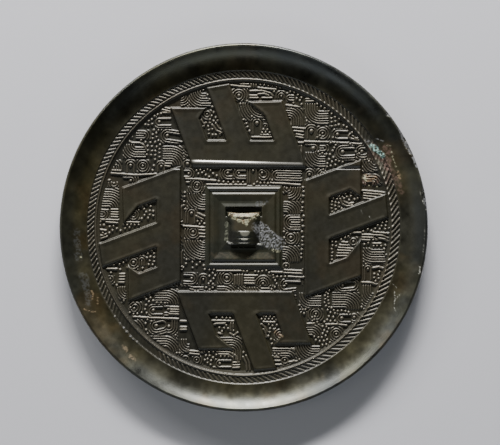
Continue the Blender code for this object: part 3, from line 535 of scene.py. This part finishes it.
# Noises: size of the features in millimetres, seed and layers. Specks: size and seed
PATTERNS = {
    "wander": (4, 21, 2),
    "uneven": (6, 61, 3),
    "crust": (0.55, 71, 2),
    "large": (22, 81, 4),
    "other": (15, 131, 4),
    "fine": (1.6, 91, 4),
    "mottle": (5, 221, 5),
    "chips": (0.8, 161, 2),
    "knob": (0.9, 101, 3),
    "face_large": (26, 201, 4),
    "face_fine": (2.2, 211, 4),
}
SPECKS = (0.42, 151)
KNOB_SPECKS = (0.5, 171)
LAYER_FADE = 0.55
NOISE_OFFSET = 4096
HASH_START = (374761393, 668265263, 982451653, 0xFFFFFFFF, 0xFFFFFF)
HASH_ROUNDS = ((13, 1274126177), (16, 2246822519))
FAR = 1e9

# Floor, in metres but for the gap below the mirror
FLOOR_SIZE = 6.0
FLOOR_GAP = 0.1
FLOOR_TONE = (0.61, 0.615, 0.66)

# Lights: a low key in two widths from the top edge, and two weak glows from the other sides.
# Place and size in metres, watts and tone
LIGHTS = (
    ("key", (0.0, 1.12, 0.43), (0.55, 0.08), 33.0, (1.0, 0.985, 0.97)),
    ("wide_key", (-0.25, 1.14, 0.44), (1.7, 0.08), 21.0, (1.0, 0.985, 0.97)),
    ("glow", (-0.1, -0.8, 0.5), (1.2, 0.3), 2.4, (0.86, 0.93, 1.0)),
    ("side_glow", (-0.9, -0.1, 0.5), (0.3, 1.0), 0.8, (1.0, 0.97, 0.88)),
)
ROOM_TONE = (1.0, 0.97, 0.86)
ROOM_STRENGTH = 0.055

# Camera: lens and sensor in millimetres, the picture's width, the size of a pixel on the
# polished face, and how far the picture's middle lies right of and above the mirror's
LENS = 150
SENSOR_WIDTH = 36
PICTURE_WIDTH_PX = 500
CAMERA_PIXEL = 0.3826
CAMERA_OFFSET_PX = (6.2, 4.7)


def smoothstep(low, high, value):
    t = np.clip((value - low) / (high - low), 0, 1)
    return t * t * (3 - 2 * t)


def window(value, start, full, fade, end):
    """1 from full to fade, and falling smoothly to 0 at start and at end."""
    return smoothstep(start, full, value) * smoothstep(end, fade, value)


def mix(a, b, share):
    return a + (b - a) * share


def lattice_value(ix, iy, seed):
    """A repeatable number from 0 to 1 for each whole-numbered place."""
    factor_x, factor_y, factor_seed, word, low_bits = HASH_START
    h = ix.astype(np.uint64) * np.uint64(factor_x) + iy.astype(np.uint64) * np.uint64(factor_y)
    h = (h + np.uint64(seed * factor_seed)) & np.uint64(word)
    for shift, factor in HASH_ROUNDS:
        h = ((h ^ (h >> np.uint64(shift))) * np.uint64(factor)) & np.uint64(word)
    return ((h ^ (h >> np.uint64(15))) & np.uint64(low_bits)).astype(float) / low_bits


def noise(x, y, size, seed):
    """Smooth noise from 0 to 1 with features about as wide as size."""
    x = x / size + NOISE_OFFSET
    y = y / size + NOISE_OFFSET
    ix, iy = np.floor(x), np.floor(y)
    fx, fy = x - ix, y - iy
    fx, fy = fx * fx * (3 - 2 * fx), fy * fy * (3 - 2 * fy)
    low = mix(lattice_value(ix, iy, seed), lattice_value(ix + 1, iy, seed), fx)
    high = mix(lattice_value(ix, iy + 1, seed), lattice_value(ix + 1, iy + 1, seed), fx)
    return mix(low, high, fy)


def layered_noise(x, y, size, seed, layers):
    total, weight, share = 0.0, 0.0, 1.0
    for i in range(layers):
        total = total + share * noise(x, y, size / 2**i, seed + i)
        weight += share
        share *= LAYER_FADE
    return total / weight


def pattern(name, x, y):
    return layered_noise(x, y, *PATTERNS[name])


def segment_distance(x, y, a, b):
    """Distance from each point to the straight piece from a to b."""
    ax, ay = a
    bx, by = b[0] - ax, b[1] - ay
    length = max(bx * bx + by * by, 1e-9)
    t = np.clip(((x - ax) * bx + (y - ay) * by) / length, 0, 1)
    return np.hypot(x - ax - t * bx, y - ay - t * by)


def line_distance(x, y, points):
    """Distance from each point to the nearest piece of a bent line."""
    distance = np.full(x.shape, FAR)
    for a, b in zip(points, points[1:]):
        distance = np.minimum(distance, segment_distance(x, y, a, b))
    return distance


def within(x, y, x0, y0, x1, y1):
    return (x > x0) & (x < x1) & (y > y0) & (y < y1)


def near_line(x, y, points, reach):
    """The numbers of the points that lie no further than reach from the line's box."""
    xs, ys = zip(*points)
    box = (min(xs) - reach, min(ys) - reach, max(xs) + reach, max(ys) + reach)
    return np.nonzero(within(x, y, *box))


def to_pixels(x, y):
    return MIDDLE_PX[0] + x / PIXEL, MIDDLE_PX[1] - y / PIXEL


def dome(distance, radius):
    return np.sqrt(np.clip(1 - (distance / radius) ** 2, 0, 1))


def raised_lines(distance):
    """Round-topped parallel lines along the level lines of a distance."""
    return (0.5 + 0.5 * np.cos(2 * math.pi * distance / LINE_PITCH_PX)) ** 1.5


def feather(x, y, corner_x, corner_y, right, below):
    """Lines that run level, turn a quarter round a corner and run on upright."""
    p = np.maximum((x - corner_x) * right, 0)
    q = np.maximum((y - corner_y) * below, 0)
    distance = np.hypot(p, q)
    return np.where(distance < 0.4 * LINE_PITCH_PX, 0, raised_lines(distance))


def curl(x, y, ax, ay, bx, by, boss):
    """Lines that run along a core and turn round its end, where a boss can stand."""
    distance = segment_distance(x, y, (ax, ay), (bx, by))
    if not boss:
        return raised_lines(distance)
    lines = raised_lines(distance - boss - 0.7 * LINE_PITCH_PX)
    lines = np.where(distance < boss + 0.1, 0, lines)
    return np.maximum(lines, 1.1 * dome(np.hypot(x - ax, y - ay), boss))


def draw_boxed(h, x, y, shape, mark):
    """A feather or a curl, which takes the place of all that was in its box."""
    *values, x0, y0, x1, y1 = mark
    near = np.nonzero(within(x, y, x0, y0, x1, y1))
    u, v = x[near], y[near]
    edge = np.minimum(np.minimum(u - x0, x1 - u), np.minimum(v - y0, y1 - v))
    h[near] = shape(u, v, *values) * smoothstep(0, BOX_EDGE_PX, edge)


def draw_stroke(h, x, y, points):
    near = near_line(x, y, points, 2)
    ridge = 1.05 * dome(line_distance(x[near], y[near], points), STROKE_RADIUS_PX)
    h[near] = np.maximum(h[near], ridge)


def draw_bead(h, x, y, middle):
    """A bead with a hollow round it."""
    near = near_line(x, y, (middle,), BEAD_HOLLOW_PX + 0.1)
    distance = np.hypot(x[near] - middle[0], y[near] - middle[1])
    hollow = smoothstep(BEAD_RADIUS_PX, BEAD_HOLLOW_PX, distance)
    h[near] = np.maximum(h[near] * hollow, 1.2 * dome(distance, BEAD_RADIUS_PX))


def draw_marks(groups, x, y):
    """Relief of the marks, each one over those before it, from 0 in the hollows to 1."""
    h = np.zeros(x.shape)
    for kind, *marks in groups:
        for mark in marks:
            if kind == "clear":
                h[within(x, y, *mark)] = 0
            elif kind == "stroke":
                draw_stroke(h, x, y, mark)
            elif kind == "bead":
                draw_bead(h, x, y, mark)
            else:
                draw_boxed(h, x, y, feather if kind == "feather" else curl, mark)
    return h


def ground_height(x, y):
    """The stamped ground: the block again and again, and the marks laid out one by one."""
    wander = 0.5 * (pattern("wander", x, y) - 0.5)
    px, py = to_pixels(x, y)
    px, py = px + wander, py + 0.6 * wander
    right = px > BLOCK_PARTING_PX
    (right_x, right_y), (left_x, left_y) = BLOCK_ORIGINS_PX
    u = (px - np.where(right, right_x, left_x)) % BLOCK_PX[0]
    v = (py - np.where(right, right_y, left_y)) % BLOCK_PX[1]
    h = draw_marks(BLOCK, u, v)
    inside = np.zeros(x.shape, bool)
    for kind, *boxes in MARKS:
        if kind == "clear":
            for box in boxes:
                inside |= within(px, py, *box)
    return np.where(inside, draw_marks(MARKS, px, py), h)


def motif_points(sizes):
    edges, base, floor, left_top, right_top, centre_tops = sizes
    left, gap_1, centre, gap_2, right, end = edges

    def on_side(edge, v):
        return edge + SLANT * (v - floor), v

    return [
        on_side(left, base),
        on_side(end, base),
        on_side(end, right_top),
        (on_side(right, right_top)[0] - BARB_REACH, right_top - BARB_TIP_FALL),
        on_side(right, right_top - RIGHT_BARB_LONGER * BARB_DROP),
        on_side(right, floor),
        on_side(gap_2, floor),
        on_side(gap_2, centre_tops[1]),
        on_side(centre, centre_tops[0]),
        on_side(centre, floor),
        on_side(gap_1, floor),
        on_side(gap_1, left_top - BARB_DROP),
        (on_side(gap_1, left_top)[0] + BARB_REACH, left_top),
        on_side(left, left_top),
    ]


def polygon_depth(x, y, points):
    """How far inside the outline each point lies, negative outside."""
    inside = np.zeros(x.shape, bool)
    for (ax, ay), (bx, by) in zip([points[-1]] + points, points):
        if ay != by:
            crosses = (ay > y) != (by > y)
            inside ^= crosses & (x < ax + (y - ay) * (bx - ax) / (by - ay))
    nearest = line_distance(x, y, [points[-1]] + points)
    return np.where(inside, nearest, -nearest)


def motif_depths(x, y):
    """Depth inside the nearest motif."""
    depth = np.full(x.shape, -FAR)
    for quarter_turns, sizes in enumerate(MOTIFS):
        u, v = x, y
        for _ in range(quarter_turns):
            u, v = v, -u
        depth = np.maximum(depth, polygon_depth(u, v, motif_points(sizes)))
    return depth


def seat_half(x, y):
    """The half size of the seat's level ring through each point."""
    span = SEAT_HALF - KNOB_HALF
    halves = [np.abs(x)]
    for side in (1, -1):
        grow = (SEAT_TALLER - side * KNOB_RISE) / span
        start = side * KNOB_RISE - grow * KNOB_HALF
        halves.append((side * y - start) / (1 + grow))
    return np.maximum.reduce(halves)


def on_seat(x, y):
    return smoothstep(SEAT_HALF + 0.3, SEAT_HALF, seat_half(x, y))


def profile_height(profile, value):
    """Height along a profile of places and shares of the relief over the field."""
    places, shares = np.transpose(profile)
    return np.interp(value, places, FIELD + RELIEF * shares)


def plate_height(r):
    """The turned profile of the back, from the field out to the lip."""
    t = np.clip((r - RIM_START) / (LIP_START - RIM_START), 0, 1)
    rim = RIM_FOOT + t**RIM_HOLLOW * (RIM_HEIGHT - RIM_FOOT)
    return np.where(r < RIM_START, profile_height(BAND_PROFILE, r), rim)


def rope_height(x, y, r):
    angle = np.arctan2(y, x)
    degrees = np.degrees(angle) % 360
    spread = angle + STROKE_SPREAD * np.sin(angle - math.radians(STROKE_SPREAD_FROM))
    lean = (r - ROPE_INNER) * STROKE_LEAN / np.maximum(r, 1)
    phase = (spread - lean) * STROKES / (2 * math.pi)
    number = np.floor(phase)
    across = phase - number - 0.5
    strength = 0.75 + 0.5 * lattice_value(number + 600, number * 0 + 5, 31)
    width = 0.27 + 0.05 * lattice_value(number + 600, number * 0 + 9, 32)
    width = width - ROPE_THINNER * window(degrees, *ROPE_THIN_DEGREES)
    stroke = np.clip(1 - (across / width) ** 2, 0, 1) ** 0.8
    start = ROPE_INNER - 0.8 * np.clip(np.cos(angle), 0, 1)
    ends = window(r, start - 0.2, start + 0.4, ROPE_OUTER - 0.3, ROPE_OUTER)
    height = STROKE_HEIGHT * stroke * strength * ends
    for loss, *place in ROPE_WORN:
        height = height * (1 - loss * window(degrees, *place))
    return height


def seat_height(x, y):
    inward = np.clip((SEAT_HALF - seat_half(x, y)) / (SEAT_HALF - KNOB_HALF), 0, 1)
    h = profile_height(SEAT_PROFILE, inward)
    for floor, side, along in HOLES:
        h = mix(h, floor, smoothstep(*side, np.abs(x)) * window(y, *along))
    return h


def stain_and_painted_light_shares(x, y):
    """For each stain or painted highlight: the points that it reaches and how strongly, from 0 to 1."""
    px, py = to_pixels(x, y)
    shares = []
    for tint, strength, half, line, lift in STAINS_AND_PAINTED_LIGHT:
        near = near_line(px, py, line, 1.6 * half + 1)[0]
        u, v = px[near], py[near]
        ragged = layered_noise(u, v, 1.1 * half + 0.8, 51, 4) - 0.5
        distance = line_distance(u, v, line) + 1.5 * half * ragged
        share = strength * smoothstep(1.1 * half, 0.75 * half, distance)
        shares.append((near, share, np.array(TINTS[tint]), lift))
    return shares


def slope_place(x, y):
    """Millimetres up the top motif's worn inner slope, and the slope's width there."""
    return y - MOTIFS[0][1], np.interp(x, SLOPE_ENDS, SLOPE_WIDTHS)


def polished_slope(x, y):
    """Where the top motif's inner edge is worn to a slope with a raised crest."""
    up, width = slope_place(x, y)
    return smoothstep(width + 0.95, width + 0.1, up) * (up > -0.3)


def worn_slope(x, y):
    up, width = slope_place(x, y)
    crest = CREST_RISE * smoothstep(24, -2, x)
    rise = np.sin(np.clip(up / width, 0, 1) * math.pi / 2)
    return FIELD + RELIEF * 0.25 + (0.75 * RELIEF + crest) * rise


def crest_highlight(x, y):
    """Where a highlight is painted on that crest as bright rubbed metal, strongest over its left half."""
    up, width = slope_place(x, y)
    along = smoothstep(-20.5, -17, x) * (0.25 + 0.75 * smoothstep(12, -2, x)) * (x < 22.5)
    return smoothstep(0.75, 0.3, np.abs(up - width - 0.25)) * along


def back_height(x, y):
    """Height of the back over the field, the seat and the motifs, with its casting skin."""
    r = np.hypot(x, y)
    reach = FIELD_RADIUS + 0.75 * np.clip(x / np.maximum(r, 1), 0, 1) ** 0.7
    field = smoothstep(reach + 0.2, reach - 0.3, r)
    h = plate_height(r) + field * (GROUND_RELIEF * ground_height(x, y) - GROUND_SINK)
    h = h + rope_height(x, y, r)
    h = mix(h, seat_height(x, y), on_seat(x, y))
    depth = motif_depths(x, y)
    lower = smoothstep(-1.2, 0.2, motif_depths(x, y - LOWER_BEVEL))
    hollow = MOTIF_HOLLOW * smoothstep(0.5, 2.2, depth)
    motif = FIELD + RELIEF * (0.6 + 0.4 * lower) - hollow
    motif = mix(motif, worn_slope(x, y), polished_slope(x, y))
    return mix(h, motif, smoothstep(-0.15, 0.6, depth))


def surface(x, y):
    """Height at each point of the back, with its crusts and cast unevenness."""
    h = back_height(x, y) + UNEVEN * (pattern("uneven", x, y) - 0.5)
    grain = pattern("crust", x, y)
    for near, share, tint, lift in stain_and_painted_light_shares(x, y):
        h[near] = h[near] + share * lift * (0.6 + 1.6 * (grain[near] - 0.5))
    return h


def patina_and_painted_light(x, y, h):
    """Base colour, roughness and metal share of the old bronze at each point, with painted highlights,
    light and shade put into its colour.
    """
    large, other, fine = (pattern(name, x, y)[:, None] for name in ("large", "other", "fine"))
    colour = mix(DARK, OLIVE, smoothstep(0.3, 0.7, large))
    colour = mix(colour, BROWN, 0.8 * smoothstep(0.48, 0.7, other))
    colour = colour * (0.8 + 0.4 * fine)

    r = np.hypot(x, y)
    seat = on_seat(x, y)
    rim = smoothstep(ROPE_OUTER, RIM_START + 0.3, r)
    off_motifs = motif_depths(x, y)
    colour = colour * mix(1.0, SEAT_TONE, seat[:, None])

    # Painted highlight and wear: the raised tops of the ground and of the rope's strokes are made lighter
    # and more metallic.
    tops = smoothstep(0.05, 0.3, h - FIELD) * smoothstep(RING_CREST, FIELD_RADIUS, r)
    tops = tops * (1 - seat) * smoothstep(0.1, -0.2, off_motifs)
    shaded = smoothstep(54.9, 55.5, r) * np.clip(x / RADIUS + 0.2, 0, 1)
    tops = tops * (1 - 0.8 * shaded)
    on_rope = (r > RING_CREST) * (r < ROPE_OUTER)
    tops = np.maximum(tops, 0.7 * smoothstep(0.1, 0.4, h - ROPE_FLOOR) * on_rope)
    colour = mix(colour, GROUND_TOPS_WEAR_AND_SHEEN, 0.5 * tops[:, None])

    greyer = smoothstep(-60, 60, x + 0.5 * np.abs(y))[:, None]
    # Painted light and shade on the rim: its inner part warmer and lighter, its outer part darker and
    # bluer.
    outer_shade_share = smoothstep(63, 67, r)[:, None]
    mottle = pattern("mottle", x, y) - 0.5
    tone = mix(RIM_LEFT, RIM_RIGHT, greyer) * (1 + 1.3 * mottle[:, None])
    tone = tone * mix(RIM_INNER_PAINTED_LIGHT, RIM_OUTER_PAINTED_SHADE, outer_shade_share)
    colour = colour * mix(1.0, tone, rim[:, None])
    rough = 0.4 + 0.12 * fine[:, 0] - rim * (0.1 - 0.25 * mottle)
    metal = 0.25 + 0.4 * tops + 0.4 * rim

    # Painted highlight on the top motif's crest, given the colour of rubbed metal.
    worn_highlight = crest_highlight(x, y) * smoothstep(-0.2, 0.1, off_motifs)
    colour = mix(colour, POLISHED_CREST_HIGHLIGHT, 0.85 * worn_highlight[:, None])
    metal = mix(metal, 0.9, worn_highlight)
    rough = mix(rough, 0.38, worn_highlight)

    speck = noise(x, y, *SPECKS)
    for near, share, tint, lift in stain_and_painted_light_shares(x, y):
        share = share * (0.08 + 0.92 * smoothstep(0.36, 0.62, speck[near]))
        colour[near] = mix(colour[near], tint, share[:, None])
        rough[near] = mix(rough[near], CRUST_ROUGH, share)
        metal[near] = mix(metal[near], CRUST_METAL, share)
    return colour, rough, metal


def chip_depth(x, y):
    """How far into a loss from the lip each point lies, and the level left there."""
    degrees = np.degrees(np.arctan2(y, x)) % 360
    r = np.hypot(x, y)
    inside = np.full(x.shape, -1.0)
    level = np.full(x.shape, RIM_HEIGHT)
    for middle, length, depth, drop in CHIPS:
        t = (degrees - middle) / length
        share = np.interp(t, *CHIP_SHAPE, -1, -1)
        into = r - (RADIUS - share * depth * LIP_WIDTH)
        level = np.where(into > inside, (1 - drop) * RIM_HEIGHT, level)
        inside = np.maximum(inside, into)
    return inside, level


def add_mesh(name, points, quads, looks):
    """A mesh with its colour, painted light and shade included, roughness and metal written on its points,
    for the material to read.
    """
    mesh = bpy.data.meshes.new(name)
    mesh.from_pydata(points * MM, [], quads.tolist())
    mesh.shade_smooth()
    colour, rough, metal = looks
    values = np.ones((len(colour), 4), np.float32)
    values[:, :3] = colour
    layer = mesh.color_attributes.new("patina_and_painted_light", "FLOAT_COLOR", "POINT")
    layer.data.foreach_set("color", values.ravel())
    for attribute_name, data in (("roughness", rough), ("metal", metal)):
        attribute = mesh.attributes.new(attribute_name, "FLOAT", "POINT")
        attribute.data.foreach_set("value", data.astype(np.float32))
    piece = bpy.data.objects.new(name, mesh)
    bpy.context.collection.objects.link(piece)
    return piece


def grid_quads(rows, columns, closed):
    i = np.arange(rows - 1)[:, None]
    j = np.arange(columns if closed else columns - 1)[None, :]
    k = (j + 1) % columns
    quads = (i * columns + j, i * columns + k, (i + 1) * columns + k, (i + 1) * columns + j)
    return np.stack([np.broadcast_to(q, quads[0].shape).ravel() for q in quads], axis=1)


def ring_grid(radii, columns):
    """Points on rings, and quads between them that face up where the radii grow."""
    turns = 2 * math.pi * np.arange(columns) / columns
    r = np.array(radii)[:, None]
    x, y = (r * np.cos(turns)).ravel(), (r * np.sin(turns)).ravel()
    return x, y, grid_quads(len(radii), columns, True)[:, ::-1]


def make_field():
    """The field inside the ring's crest, in four quarters of a square grid."""
    count = int(math.ceil(RING_CREST / STEP)) + 2
    line = np.arange(count) * STEP
    pieces = []
    for number, (sx, sy) in enumerate(((1, 1), (-1, 1), (-1, -1), (1, -1)), 1):
        x, y = np.meshgrid(line * sx, line * sy)
        x, y = x.ravel(), y.ravel()
        quads = grid_quads(count, count, False)
        if sx * sy < 0:
            quads = quads[:, ::-1]
        quads = quads[(np.hypot(x, y)[quads] < RING_CREST + 0.3).all(axis=1)]
        used, index = np.unique(quads, return_inverse=True)
        x, y = x[used], y[used]
        h = surface(x, y)
        h = np.where(np.hypot(x, y) > RING_CREST, h - TUCKED_UNDER, h)
        points = np.stack([x, y, h], 1)
        quads = index.reshape(quads.shape)
        pieces.append(add_mesh(f"back_field_{number}", points, quads, patina_and_painted_light(x, y, h)))
    return pieces


def make_rope_band():
    x, y, quads = ring_grid(ROPE_RADII, COLUMNS)
    h = surface(x, y)
    points = np.stack([x, y, np.minimum(h, RIM_HEIGHT)], 1)
    return add_mesh("rope_band", points, quads, patina_and_painted_light(x, y, h))


def make_rim():
    """The hollow rim, its lip with the chips, and the outer wall."""
    insets, wall_heights = np.transpose(LIP_PROFILE)
    x, y, quads = ring_grid([*RIM_RADII, *(RADIUS - insets)], COLUMNS)
    wall = slice(-len(LIP_PROFILE) * COLUMNS, None)
    h = surface(x, y)
    h[wall] = np.repeat(wall_heights, COLUMNS)
    below_top = RIM_HEIGHT - h[wall]

    # On the wall the patina is read further in the lower it is, so that it has no streaks
    u, v = x.copy(), y.copy()
    u[wall] *= 1 - below_top / RADIUS
    v[wall] *= 1 - below_top / RADIUS
    colour, rough, metal = patina_and_painted_light(u, v, h)
    colour[wall] *= mix(1.0, WALL_SHADE, smoothstep(0, 1.5, below_top))[:, None]

    into, level = chip_depth(x, y)
    grain = pattern("chips", x, y)
    lost = smoothstep(-0.2, 0.25, into + 0.5 * (grain - 0.5))
    h = np.where(h > level, mix(h, level + 0.5 * (grain - 0.4), lost), h)
    pale = lost * smoothstep(0.35, 0.55, grain) * (h > level - 0.5)
    colour = mix(colour, np.array(TINTS["grey"]), 0.8 * pale[:, None])
    rough = mix(rough, 0.6, pale)
    points = np.stack([x, y, np.minimum(h, RIM_HEIGHT)], 1)
    return add_mesh("rim", points, quads, (colour, rough, metal))


def make_face():
    """The polished face, underneath."""
    x, y, quads = ring_grid(FACE_RADII, FACE_COLUMNS)
    large, fine = pattern("face_large", x, y), pattern("face_fine", x, y)
    colour = mix(FACE_DARK, FACE_PALE, smoothstep(0.35, 0.65, large)[:, None])
    colour = colour * (0.85 + 0.3 * fine[:, None])
    looks = (colour, 0.26 + 0.2 * large, 0.55 - 0.3 * fine)
    return add_mesh("polished_face", np.stack([x, y, 0 * x], 1), quads, looks)


def crown_height(y):
    """The strap's crown along Y: level over the front, then sinking towards the back."""
    sink = np.clip((CROWN_END - y) / (CROWN_END - KNOB_BACK), 0, 1)
    roll = np.clip((y - KNOB_FRONT + 1.6) / 1.6, 0, 1)
    back = np.clip((KNOB_BACK + 0.5 - y) / 0.5, 0, 1)
    return KNOB_HEIGHT - RIDGE_HEIGHT - CROWN_FALL * sink - 0.5 * roll**2 - 0.3 * back**2


def strap_ring(y, half, across, z):
    """One arch of the strap at y, which leans in towards the top at the front."""
    lean = KNOB_LEAN_IN * smoothstep(KNOB_FRONT - 2.5, KNOB_FRONT, y)
    lean = lean * np.clip((z - STRAP_FOOT) / (KNOB_HEIGHT - STRAP_FOOT), 0, 1)
    return np.stack([half * across, y - lean, z], 1)


def strap_points():
    """The strap's points: arches over its outside to the back, then under it to the front."""
    a = math.pi * np.arange(STRAP_STEPS + 1) / STRAP_STEPS
    across = np.sign(np.cos(a)) * np.abs(np.cos(a)) ** STRAP_SQUARENESS
    up = np.sin(a) ** STRAP_SQUARENESS
    places = np.linspace(KNOB_FRONT, KNOB_BACK, STRAP_PLACES)
    rings = []
    for y in places:
        swell = 0.0
        for middle, half in RIDGES:
            swell = max(swell, smoothstep(half + 0.06, half, abs(y / KNOB_HALF - middle)))
        swell = RIDGE_HEIGHT * swell * (0.1 + 0.9 * smoothstep(0.88, 0.99, up))
        body = mix(0.86 * STRAP_HALF, 0.96 * STRAP_HALF, smoothstep(0.5, 3.0, y))
        half = mix(STRAP_HALF, body, smoothstep(0.05, 0.5, up))
        z = STRAP_FOOT + (crown_height(y) - STRAP_FOOT) * up + swell * up
        rings.append(strap_ring(y, half, across, z))
    for y in places[::-1]:
        inner_crown = crown_height(y) + RIDGE_HEIGHT - STRAP_THICKNESS
        z = STRAP_FOOT + (inner_crown - STRAP_FOOT) * up
        rings.append(strap_ring(y, TUNNEL_HALF, across, z))
    return np.array(rings).transpose(1, 0, 2).reshape(-1, 3)


def make_knob():
    """The bridge strap: an arch over the tunnel, with ridges along it and a crusted front."""
    points = strap_points()
    quads = grid_quads(STRAP_STEPS + 1, 2 * STRAP_PLACES, True)
    x, y, z = points.T
    grain = pattern("knob", x * 1.3 + z, y * 1.3 - z)
    edge = np.interp(x, *np.transpose(KNOB_CRUST))
    outside = z > KNOB_HEIGHT - 2.6
    crusted = smoothstep(-0.5, 0.5, y - edge + 2.2 * (grain - 0.5)) * outside
    z += 0.3 * crusted * (grain - 0.35)

    colour, rough, metal = patina_and_painted_light(x, y, z)
    crown = smoothstep(5.0, 3.0, np.abs(x)) * smoothstep(-2.0, -0.6, y) * outside
    colour = mix(colour, KNOB_CROWN, 0.7 * crown[:, None])
    # Painted shade: the strap's flanks behind the crown are darkened.
    shaded_flank = smoothstep(2.0, 4.5, np.abs(x - 0.3)) * smoothstep(-0.5, -2.0, y) * (np.abs(x) < 5.9)
    colour = colour * (1 - 0.6 * shaded_flank[:, None])
    # Painted highlights on the ridges' crowns, as pale worn spots.
    worn_highlight = np.zeros(len(x))
    for cx, cy, radius in KNOB_RIDGE_HIGHLIGHTS:
        spot = smoothstep(1.1, 0.8, np.hypot(x - cx, 1.05 * (y - cy)) / radius) * (y < cy + 0.15)
        worn_highlight = np.maximum(worn_highlight, spot * outside)
    colour = mix(colour, KNOB_RIDGE_HIGHLIGHT_TONE, 0.75 * worn_highlight[:, None])
    metal = mix(metal, 0.3, worn_highlight)
    speck = noise(x, y + z, *KNOB_SPECKS)
    pale = crusted * (0.2 + 0.8 * smoothstep(0.35, 0.6, 0.5 * speck + 0.5 * grain))
    tan, cream = np.array(TINTS["tan"]), np.array(TINTS["cream"])
    cream = mix(tan, cream, smoothstep(0.4, 0.55, grain)[:, None])
    colour = mix(colour, cream, pale[:, None])
    looks = (colour, mix(rough, 0.6, pale), mix(metal, CRUST_METAL, pale))
    return add_mesh("knob_strap", points, quads, looks)


def old_bronze():
    """Bronze that reads its colour, with painted light and shade in it, roughness and metal from the mesh,
    with a fine cast grain.
    """
    material = bpy.data.materials.new("old_bronze_patina")
    material.use_nodes = True
    tree = material.node_tree
    shader = tree.nodes["Principled BSDF"]
    shader.inputs["Specular IOR Level"].default_value = 0.8
    for name, output, socket in LOOK_LAYERS:
        reader = tree.nodes.new("ShaderNodeAttribute")
        reader.attribute_name = name
        tree.links.new(reader.outputs[output], shader.inputs[socket])
    place = tree.nodes.new("ShaderNodeTexCoord")
    grain = tree.nodes.new("ShaderNodeTexNoise")
    grain.inputs["Scale"].default_value = GRAIN_SCALE
    grain.inputs["Detail"].default_value = 3
    bump = tree.nodes.new("ShaderNodeBump")
    bump.inputs["Strength"].default_value = 0.25
    bump.inputs["Distance"].default_value = GRAIN_DEPTH * MM
    tree.links.new(place.outputs["Object"], grain.inputs["Vector"])
    tree.links.new(grain.outputs["Fac"], bump.inputs["Height"])
    tree.links.new(bump.outputs["Normal"], shader.inputs["Normal"])
    return material


def make_floor():
    bpy.ops.mesh.primitive_plane_add(size=FLOOR_SIZE, location=(0, 0, -FLOOR_GAP * MM))
    floor = bpy.context.object
    floor.name = "floor"
    material = bpy.data.materials.new("pale_floor")
    material.use_nodes = True
    shader = material.node_tree.nodes["Principled BSDF"]
    shader.inputs["Base Color"].default_value = (*FLOOR_TONE, 1)
    shader.inputs["Roughness"].default_value = 0.9
    floor.data.materials.append(material)


def add_light(name, place, size, power, colour):
    """A soft square lamp that faces the mirror."""
    lamp = bpy.data.lights.new(name, "AREA")
    lamp.shape = "RECTANGLE"
    lamp.size, lamp.size_y = size
    lamp.energy = power
    lamp.color = colour
    thing = bpy.data.objects.new(name, lamp)
    thing.location = Vector(place)
    thing.rotation_euler = (-Vector(place)).to_track_quat("-Z", "Y").to_euler()
    bpy.context.collection.objects.link(thing)


def make_lights():
    for name, *values in LIGHTS:
        add_light(name, *values)
    world = bpy.data.worlds.new("studio")
    world.use_nodes = True
    background = world.node_tree.nodes["Background"]
    background.inputs["Color"].default_value = (*ROOM_TONE, 1)
    background.inputs["Strength"].default_value = ROOM_STRENGTH
    bpy.context.scene.world = world


def make_camera():
    """Straight above, the mirror a little left of and below the middle of the picture."""
    camera = bpy.data.cameras.new("camera")
    camera.lens = LENS
    camera.sensor_width = SENSOR_WIDTH
    camera.clip_start = 0.01
    camera.clip_end = 20
    distance = PICTURE_WIDTH_PX * CAMERA_PIXEL * MM * LENS / SENSOR_WIDTH
    thing = bpy.data.objects.new("camera", camera)
    thing.location = (*(offset * PIXEL * MM for offset in CAMERA_OFFSET_PX), distance)
    bpy.context.collection.objects.link(thing)
    bpy.context.scene.camera = thing


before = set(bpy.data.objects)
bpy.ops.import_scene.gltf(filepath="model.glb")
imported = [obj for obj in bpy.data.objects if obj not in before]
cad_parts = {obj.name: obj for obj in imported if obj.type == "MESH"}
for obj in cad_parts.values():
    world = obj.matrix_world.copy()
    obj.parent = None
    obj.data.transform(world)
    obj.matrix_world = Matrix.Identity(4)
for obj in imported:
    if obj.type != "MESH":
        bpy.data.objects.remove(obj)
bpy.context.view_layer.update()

bronze = old_bronze()
made = make_field() + [make_rope_band(), make_rim(), make_face(), make_knob()]
for piece in made:
    piece.data.materials.append(bronze)
    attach(piece, "root")
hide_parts("mirror")
make_floor()
make_lights()
make_camera()
